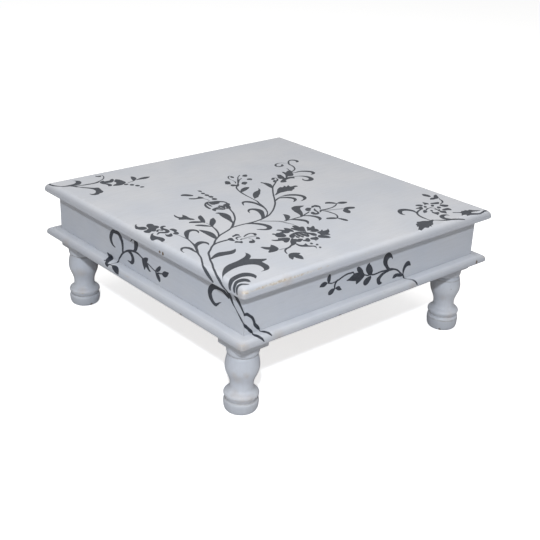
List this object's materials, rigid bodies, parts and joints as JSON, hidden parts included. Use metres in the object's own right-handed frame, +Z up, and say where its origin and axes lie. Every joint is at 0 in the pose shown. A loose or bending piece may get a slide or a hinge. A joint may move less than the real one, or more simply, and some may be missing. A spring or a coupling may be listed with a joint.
{
  "type": "low table",
  "caption": "Low square wooden table: round-edged flat top on a set-back box apron, a moulded base frame below it and short turned legs at the corners.",
  "frame": {"origin": "on the floor under the middle of the table", "axes": "+Z up; -Y is the front side and -X the left side; the vine on the top starts at the front left corner"},
  "size_m": [0.4, 0.4, 0.163],
  "materials": {
    "painted_wood": "satin cool white brush paint over wood, with a charcoal stencilled vine and worn edges",
    "bare_wood": "unpainted sawn wood",
    "zinc_steel": "zinc plated wood screws"
  },
  "bodies": {
    "root": {"apron_back": "painted_wood", "apron_front": "painted_wood", "apron_left": "painted_wood", "apron_right": "painted_wood", "apron_screw_back_1": "zinc_steel", "apron_screw_back_2": "zinc_steel", "apron_screw_front_1": "zinc_steel", "apron_screw_front_2": "zinc_steel", "apron_screw_left_1": "zinc_steel", "apron_screw_left_2": "zinc_steel", "apron_screw_right_1": "zinc_steel", "apron_screw_right_2": "zinc_steel", "base_board_back": "painted_wood", "base_board_front": "painted_wood", "base_board_left": "painted_wood", "base_board_right": "painted_wood", "block_screw_back_1": "zinc_steel", "block_screw_back_2": "zinc_steel", "block_screw_front_1": "zinc_steel", "block_screw_front_2": "zinc_steel", "block_screw_left_1": "zinc_steel", "block_screw_left_2": "zinc_steel", "block_screw_right_1": "zinc_steel", "block_screw_right_2": "zinc_steel", "cleat_back": "bare_wood", "cleat_front": "bare_wood", "cleat_left": "bare_wood", "cleat_right": "bare_wood", "cleat_screw_back_1": "zinc_steel", "cleat_screw_back_2": "zinc_steel", "cleat_screw_front_1": "zinc_steel", "cleat_screw_front_2": "zinc_steel", "cleat_screw_left_1": "zinc_steel", "cleat_screw_left_2": "zinc_steel", "cleat_screw_right_1": "zinc_steel", "cleat_screw_right_2": "zinc_steel", "corner_block_back_left": "bare_wood", "corner_block_back_right": "bare_wood", "corner_block_front_left": "bare_wood", "corner_block_front_right": "bare_wood", "leg_back_left": "painted_wood", "leg_back_right": "painted_wood", "leg_front_left": "painted_wood", "leg_front_right": "painted_wood", "top_panel": "painted_wood", "top_screw_back_1": "zinc_steel", "top_screw_back_2": "zinc_steel", "top_screw_front_1": "zinc_steel", "top_screw_front_2": "zinc_steel", "top_screw_left_1": "zinc_steel", "top_screw_left_2": "zinc_steel", "top_screw_right_1": "zinc_steel", "top_screw_right_2": "zinc_steel"}
  },
  "joints": []
}
